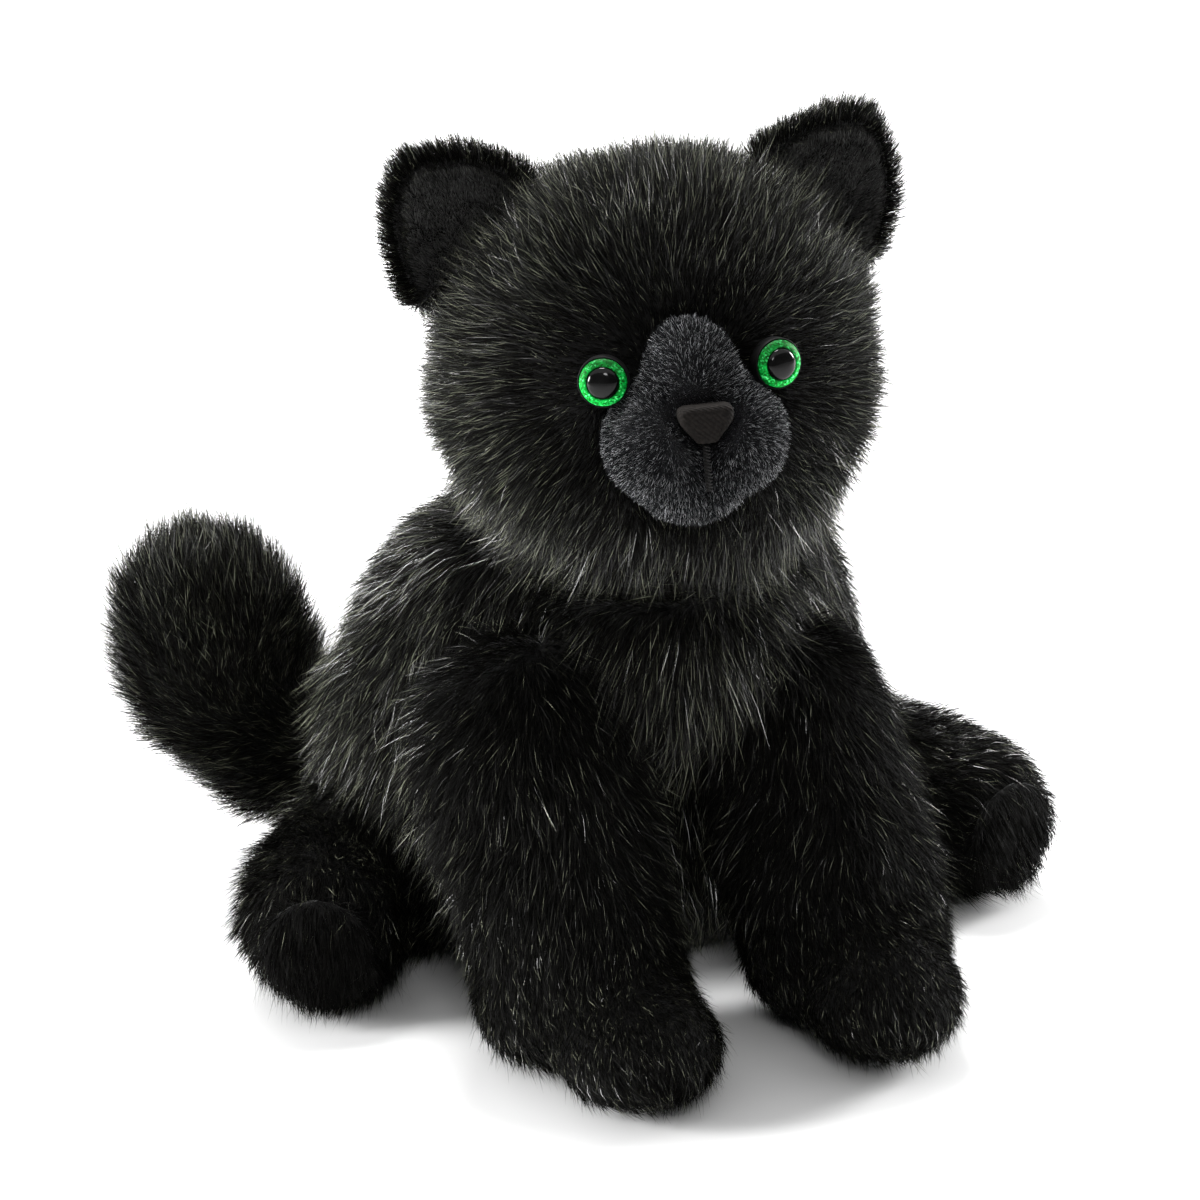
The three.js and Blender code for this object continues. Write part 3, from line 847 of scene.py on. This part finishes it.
def pileTree():
    tree = bpy.data.node_groups.new("pileStrands", "GeometryNodeTree")
    face = tree.interface
    face.new_socket("Surface", in_out="INPUT", socket_type="NodeSocketGeometry")
    for name, value in strandInputs.items():
        face.new_socket(name, in_out="INPUT", socket_type="NodeSocketFloat").default_value = value
    face.new_socket("Seed", in_out="INPUT", socket_type="NodeSocketInt")
    face.new_socket("Blade", in_out="INPUT", socket_type="NodeSocketObject")
    face.new_socket("Pile", in_out="INPUT", socket_type="NodeSocketMaterial")
    face.new_socket("Strands", in_out="OUTPUT", socket_type="NodeSocketGeometry")
    make = Fields(tree)
    given = make.node("NodeGroupInput").outputs
    seed = given["Seed"]

    # roots
    scatter = make.node("GeometryNodeDistributePointsOnFaces", distribute_method="RANDOM")
    make.put(scatter.inputs["Mesh"], given["Surface"])
    density = make.maths("MULTIPLY", given["Density"], make.named("pileDensity", "FLOAT"))
    make.put(socketOf(scatter.inputs, "Density"), density)
    make.put(socketOf(scatter.inputs, "Seed"), seed)
    place = make.node("GeometryNodeInputPosition").outputs[0]
    roots = make.store(scatter.outputs["Points"], "rootPlace", "FLOAT_VECTOR", place)
    roots = make.store(roots, "rootNormal", "FLOAT_VECTOR", scatter.outputs["Normal"])
    chance = make.random("FLOAT", 0.0, 1.0, make.maths("ADD", seed, 11.0))
    roots = make.store(roots, "strandChance", "FLOAT", chance)
    scale = make.random("FLOAT", strandShape["shortest"], strandShape["longest"],
                        make.maths("ADD", seed, 12.0))
    full = make.maths("MULTIPLY", given["Length"], make.named("pileLength", "FLOAT"))
    length = make.maths("MULTIPLY", full, scale)
    roots = make.store(roots, "strandLength", "FLOAT", length)

    # the way it lies, with a slow wander and a little of its own
    slow = make.node("ShaderNodeTexNoise")
    make.put(slow.inputs["Vector"], place)
    slow.inputs["Scale"].default_value = strandShape["slowScale"]
    slow.inputs["Detail"].default_value = 1.0
    slowWay = make.vector("SCALE", make.vector("SUBTRACT", slow.outputs["Color"], (0.5, 0.5, 0.5)),
                          make.maths("MULTIPLY", given["Wander"], strandShape["slowWander"]))
    anyWay = make.random("FLOAT_VECTOR", (-1, -1, -1), (1, 1, 1), make.maths("ADD", seed, 13.0))
    ownWay = make.vector("SCALE", anyWay, given["Wander"])
    combed = make.named("pileWay", "FLOAT_VECTOR")
    way = make.vector("NORMALIZE", make.vector("ADD", combed, make.vector("ADD", slowWay, ownWay)))
    roots = make.store(roots, "strandWay", "FLOAT_VECTOR", way)

    # tips of neighbours gather into locks
    lock = make.node("ShaderNodeTexVoronoi", feature="F1")
    make.put(lock.inputs["Vector"], place)
    lock.inputs["Scale"].default_value = strandShape["lockScale"]
    toLock = make.vector("SUBTRACT", lock.outputs["Position"], place)
    pull = make.vector("SCALE", toLock, given["Clump"])
    roots = make.store(roots, "strandPull", "FLOAT_VECTOR", pull)

    roll = make.random("FLOAT", -strandShape["roll"], strandShape["roll"],
                       make.maths("ADD", seed, 14.0))
    roots = make.store(roots, "strandRoll", "FLOAT", roll)

    # one strand, a slim pointed blade
    blade = make.node("GeometryNodeObjectInfo", transform_space="ORIGINAL")
    make.put(blade.inputs["Object"], given["Blade"])
    strand = make.store(blade.outputs["Geometry"], "onStrand", "FLOAT_VECTOR", place)
    copies = make.node("GeometryNodeInstanceOnPoints")
    make.put(copies.inputs["Points"], roots)
    make.put(copies.inputs["Instance"], strand)
    real = make.node("GeometryNodeRealizeInstances")
    make.put(real.inputs["Geometry"], copies.outputs["Instances"])

    # bend each strand from its root
    onStrand = make.named("onStrand", "FLOAT_VECTOR")
    across = make.node("ShaderNodeSeparateXYZ")
    make.put(across.inputs[0], onStrand)
    t = across.outputs["Z"]
    normal = make.named("rootNormal", "FLOAT_VECTOR")
    lie = make.named("strandWay", "FLOAT_VECTOR")
    long = make.named("strandLength", "FLOAT")
    bendShare = make.maths("ADD", strandShape["rootBend"],
                           make.maths("MULTIPLY", t, strandShape["tipBend"]))
    bend = make.maths("MULTIPLY", given["Lean"], bendShare)
    reach = make.maths("MULTIPLY", t, long)
    upShare = make.maths("MULTIPLY", make.maths("COSINE", bend), reach)
    alongShare = make.maths("MULTIPLY", make.maths("SINE", bend), reach)
    spine = make.vector("ADD", make.vector("SCALE", normal, upShare),
                        make.vector("SCALE", lie, alongShare))
    gather = make.vector("SCALE", make.named("strandPull", "FLOAT_VECTOR"),
                         make.maths("MULTIPLY", t, t))
    spine = make.vector("ADD", spine, gather)
    sideways = make.vector("NORMALIZE", make.vector("CROSS_PRODUCT", lie, normal))
    upward = make.vector("NORMALIZE", make.vector("CROSS_PRODUCT", sideways, lie))
    turned = make.named("strandRoll", "FLOAT")
    half = make.maths("MULTIPLY", across.outputs["X"], given["Width"])
    sideShare = make.maths("MULTIPLY", make.maths("COSINE", turned), half)
    upwardShare = make.maths("MULTIPLY", make.maths("SINE", turned), half)
    offset = make.vector("ADD", make.vector("SCALE", sideways, sideShare),
                         make.vector("SCALE", upward, upwardShare))
    final = make.vector("ADD", make.named("rootPlace", "FLOAT_VECTOR"),
                        make.vector("ADD", spine, offset))
    parts = make.node("ShaderNodeSeparateXYZ")
    make.put(parts.inputs[0], final)
    above = make.node("ShaderNodeCombineXYZ")
    make.put(above.inputs[0], parts.outputs["X"])
    make.put(above.inputs[1], parts.outputs["Y"])
    make.put(above.inputs[2], make.maths("MAXIMUM", parts.outputs["Z"], strandShape["lowest"]))
    moved = make.node("GeometryNodeSetPosition")
    make.put(moved.inputs["Geometry"], real.outputs["Geometry"])
    make.put(moved.inputs["Position"], above.outputs[0])

    # strand map: a narrow band of its own across, root to tip along
    spot = make.node("ShaderNodeCombineXYZ")
    chosen = make.maths("MULTIPLY", make.named("strandChance", "FLOAT"), strandShape["bandSpan"])
    ownBand = make.maths("ADD", chosen, strandShape["bandEdge"])
    inBand = make.maths("MULTIPLY", across.outputs["X"], strandShape["bandWidth"])
    run = make.maths("MULTIPLY", t, strandShape["runSpan"])
    make.put(spot.inputs[0], make.maths("ADD", ownBand, inBand))
    make.put(spot.inputs[1], make.maths("ADD", run, strandShape["runEdge"]))
    mapped = make.store(moved.outputs["Geometry"], strandUv, "FLOAT2", spot.outputs[0], "CORNER")
    smooth = make.node("GeometryNodeSetShadeSmooth")
    make.put(smooth.inputs["Geometry"], mapped)
    dressed = make.node("GeometryNodeSetMaterial")
    make.put(dressed.inputs["Geometry"], smooth.outputs["Geometry"])
    make.put(dressed.inputs["Material"], given["Pile"])
    out = make.node("NodeGroupOutput")
    make.put(out.inputs["Strands"], dressed.outputs["Geometry"])
    return tree


# Half widths 1, 0.8 and 0 at the root, the middle and the tip of a blade one unit long.
def bladeObject():
    mesh = bpy.data.meshes.new("blade")
    corners = [(-1, 0, 0), (1, 0, 0), (0.8, 0, 0.5), (-0.8, 0, 0.5), (0, 0, 1)]
    mesh.from_pydata(corners, [], [(0, 1, 2, 3), (3, 2, 4)])
    return newObject("blade", mesh)


blade = bladeObject()
strandTree = pileTree()
inputIds = {item.name: item.identifier for item in strandTree.interface.items_tree
            if item.in_out == "INPUT"}
strandLeftovers = ("rootPlace", "rootNormal", "strandChance", "strandLength", "strandWay",
                   "strandPull", "strandRoll", "onStrand", "pileWay", "pileLength", "pileDensity")


def dropLeftovers(mesh):
    for leftover in strandLeftovers:
        if leftover in mesh.attributes:
            mesh.attributes.remove(mesh.attributes[leftover])


# Painted glints: how thickly the light guard hairs stand, set by where light falls: more on the
# forehead, cheeks, bib, flank and paws, which catch the light, and thin round the face and down the
# fronts of the legs, which are in shade.
def paintedGlintShare(name, points):
    if name == "head":
        return 0.35 + 0.85 * rise(np.linalg.norm(points - faceMiddle, axis=1), 0.028, 0.03)
    if name == "body":
        # Painted glints: the bib and the flank catch the light.
        bib = np.exp(-((points[:, 0] - 0.014) / 0.028) ** 2) * (points[:, 1] < chestFront)
        flank = rise(-points[:, 0], 0.035, 0.015)
        return 0.5 + np.maximum(bib, 0.6 * flank)
    if name.startswith("front_leg"):
        return 0.7 + 0.8 * fall(points[:, 2], pawTop, pawBlend)
    return np.ones(len(points))


# Skins that lie against another piece of the same body carry no pile there.
linedWith = {"head": "muzzle", "ear_left": "ear_lining_left", "ear_right": "ear_lining_right",
             "hind_leg_left": "hind_sole_left", "hind_leg_right": "hind_sole_right"}
bare = {"touching": 0.0012, "lining": 0.0015, "sitting": 0.004, "faceDown": -0.75}


def combForm(name, pile):
    mesh = made[name].data
    points, normals = readPoints(mesh), readNormals(mesh)
    room = roomAround(name, points, trees)
    share = lengthShare(name, points, normals) * np.clip(0.75 + room / 0.03, 0.78, 1)
    density = np.where(room < bare["touching"], 0.0, 1.0)
    density[(normals[:, 2] < bare["faceDown"]) & (points[:, 2] < bare["sitting"])] = 0
    if name in linedWith:
        density[nearness(points, linedWith[name]) < bare["lining"]] = 0
    way = pile["way"](points, normals) + np.zeros_like(points)
    setVector(mesh, "pileWay", alongSurface(way, normals))
    setFloat(mesh, "pileLength", share)
    return density, density * paintedGlintShare(name, points)


def growCoat(name, pile, coatName, batch, batches):
    coat = coats[coatName]
    grown = newObject(name + "_" + coatName + "_pile_" + str(batch + 1), made[name].data)
    layer = grown.modifiers.new("strands", "NODES")
    layer.node_group = strandTree
    settings = {
        "Density": pile[coatName] * 1e6 / batches,
        "Length": pile["length"] * coat["length"] * millimetre,
        "Width": pile["width"] * coat["width"] * millimetre,
        "Lean": math.radians(pile["lean"] + coat["lean"]),
        "Clump": coat["clump"],
        "Wander": coat["wander"],
        "Seed": pile["seed"] + batchSeed * batch + coat["seed"],
        "Blade": blade,
        "Pile": coat["material"],
    }
    for key, value in settings.items():
        layer[inputIds[key]] = value
    bakeModifiers(grown)
    mesh = grown.data
    dropLeftovers(mesh)
    values = np.empty(len(mesh.loops) * 2, dtype=np.float32)
    mesh.uv_layers[strandUv].data.foreach_get("uv", values)
    mesh.uv_layers.new(name="OFBake").data.foreach_set("uv", values)
    return grown


def trianglesOf(mesh):
    return len(mesh.loops) - 2 * len(mesh.polygons)


strands = {}
for name, pile in piles.items():
    thick, glint = combForm(name, pile)
    strands[name] = []
    for coatName in coats:
        if coatName not in pile:
            continue
        setFloat(made[name].data, "pileDensity", glint if coatName == "guard" else thick)
        batches = pile.get("batches", 1) if coatName == "under" else 1
        for batch in range(batches):
            strands[name].append(growCoat(name, pile, coatName, batch, batches))
    dropLeftovers(made[name].data)
    print("stage: pile on", name, [trianglesOf(grown.data) for grown in strands[name]])
bpy.data.objects.remove(blade)
allStrands = [grown.data for group in strands.values() for grown in group]
print("stage: pile has", sum(trianglesOf(mesh) for mesh in allStrands), "triangles")


# Turned profiles of a safety eye, radius and height in mm.
eyeShapes = {
    "iris": [(3.85, 0.0), (5.45, 0.0), (5.45, 0.4), (5.2, 0.8), (4.8, 1.1), (4.3, 1.35),
             (3.85, 1.5)],
    "pupil": [(0.0, 0.0), (3.65, 0.0), (3.65, 1.4), (3.45, 1.8), (2.9, 2.15), (2.1, 2.42),
              (1.1, 2.56), (0.0, 2.6)],
    "cup": [(0.0, -14.0), (1.8, -14.0), (1.8, -3.0), (5.7, -3.0), (5.9, -2.8), (5.9, -0.1),
            (5.85, 0.1), (5.75, 0.2), (5.6, 0.15), (5.6, -0.4), (0.0, -0.4)],
}
eyeSegments = 64
eyeSunk = 0.75 * millimetre


def lathe(name, profile, middle, axis):
    work = bmesh.new()
    rings = []
    closed = profile[0][0] > 0
    for radius, height in profile:
        if radius == 0:
            rings.append([work.verts.new((0, 0, height * millimetre))])
            continue
        ring = []
        for k in range(eyeSegments):
            turn = 2 * math.pi * k / eyeSegments
            x, y = radius * math.cos(turn), radius * math.sin(turn)
            ring.append(work.verts.new((x * millimetre, y * millimetre, height * millimetre)))
        rings.append(ring)
    pairs = list(zip(rings[:-1], rings[1:])) + ([(rings[-1], rings[0])] if closed else [])
    for low, high in pairs:
        for k in range(eyeSegments):
            other = (k + 1) % eyeSegments
            corners = [low[k % len(low)], low[other % len(low)],
                       high[other % len(high)], high[k % len(high)]]
            work.faces.new(list(dict.fromkeys(corners)))
    bmesh.ops.recalc_face_normals(work, faces=work.faces)
    mesh = bpy.data.meshes.new(name)
    work.to_mesh(mesh)
    work.free()
    turn = Vector((0, 0, 1)).rotation_difference(axis).to_matrix().to_4x4()
    mesh.transform(Matrix.Translation(middle) @ turn)
    shadeSmooth(mesh)
    return newObject(name, mesh)


eyeMaterials = {"iris": greenGlitter, "pupil": pupilBlack, "cup": cupBlack}
for side in ("left", "right"):
    axis = (boxMiddle("eye_iris_" + side) - boxMiddle("eye_washer_" + side)).normalized()
    middle = boxMiddle("eye_iris_" + side) - axis * eyeSunk
    for part, profile in eyeShapes.items():
        piece = lathe("eye_" + part + "_" + side + "_turned", profile, middle, axis)
        piece.data.materials.append(eyeMaterials[part])
        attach(piece, "head")
        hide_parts("eye_" + part + "_" + side)
    washer = nodes["eye_washer_" + side].data
    washer.materials.clear()
    washer.materials.append(washerWhite)
print("stage: eyes")


# Two plies twisted round each other; sizes in mm.
threadShape = {"ply": 0.5, "radius": 0.42, "turns": 7, "steps": 90, "around": 8, "tuckedIn": 0.9}


def twistedThread():
    low, high = (Vector(v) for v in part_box("mouth_thread"))
    top = Vector(((low.x + high.x) / 2, (low.y + high.y) / 2, high.z))
    bottom = Vector((top.x, low.y + threadShape["tuckedIn"] * millimetre, low.z))
    work = bmesh.new()
    count = threadShape["steps"]
    twist, thickness = threadShape["ply"] * millimetre, threadShape["radius"] * millimetre
    for ply in range(2):
        rings = []
        for k in range(count + 1):
            t = k / count
            middle = top.lerp(bottom, t)
            angle = 2 * math.pi * (threadShape["turns"] * t + ply / 2)
            centre = middle + Vector((math.cos(angle), math.sin(angle), 0)) * twist
            ring = []
            for j in range(threadShape["around"]):
                turn = 2 * math.pi * j / threadShape["around"]
                out = Vector((math.cos(turn), math.sin(turn), 0)) * thickness
                ring.append(work.verts.new(centre + out))
            rings.append(ring)
        for a, b in zip(rings[:-1], rings[1:]):
            for j in range(len(a)):
                other = (j + 1) % len(a)
                work.faces.new((a[j], a[other], b[other], b[j]))
        work.faces.new(rings[0])
        work.faces.new(rings[-1])
    bmesh.ops.recalc_face_normals(work, faces=work.faces)
    mesh = bpy.data.meshes.new("mouth_stitch")
    work.to_mesh(mesh)
    work.free()
    shadeSmooth(mesh)
    mesh.materials.append(mouthThread)
    return newObject("mouth_stitch", mesh)


stitch = twistedThread()
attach(stitch, "head")
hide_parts("mouth_thread")


baseMaterials = {"nose": noseCloth, "neck_core": coreCloth, "muzzle": shortBacking}
for name, form in forms.items():
    cloth = made[name]
    cloth.name = name + "_cloth"
    cloth.data.materials.clear()
    cloth.data.materials.append(baseMaterials.get(name, backing))
    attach(cloth, form["rides"])
    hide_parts(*form["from"])
    for grown in strands.get(name, []):
        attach(grown, form["rides"])
print("stage: pieces hung")
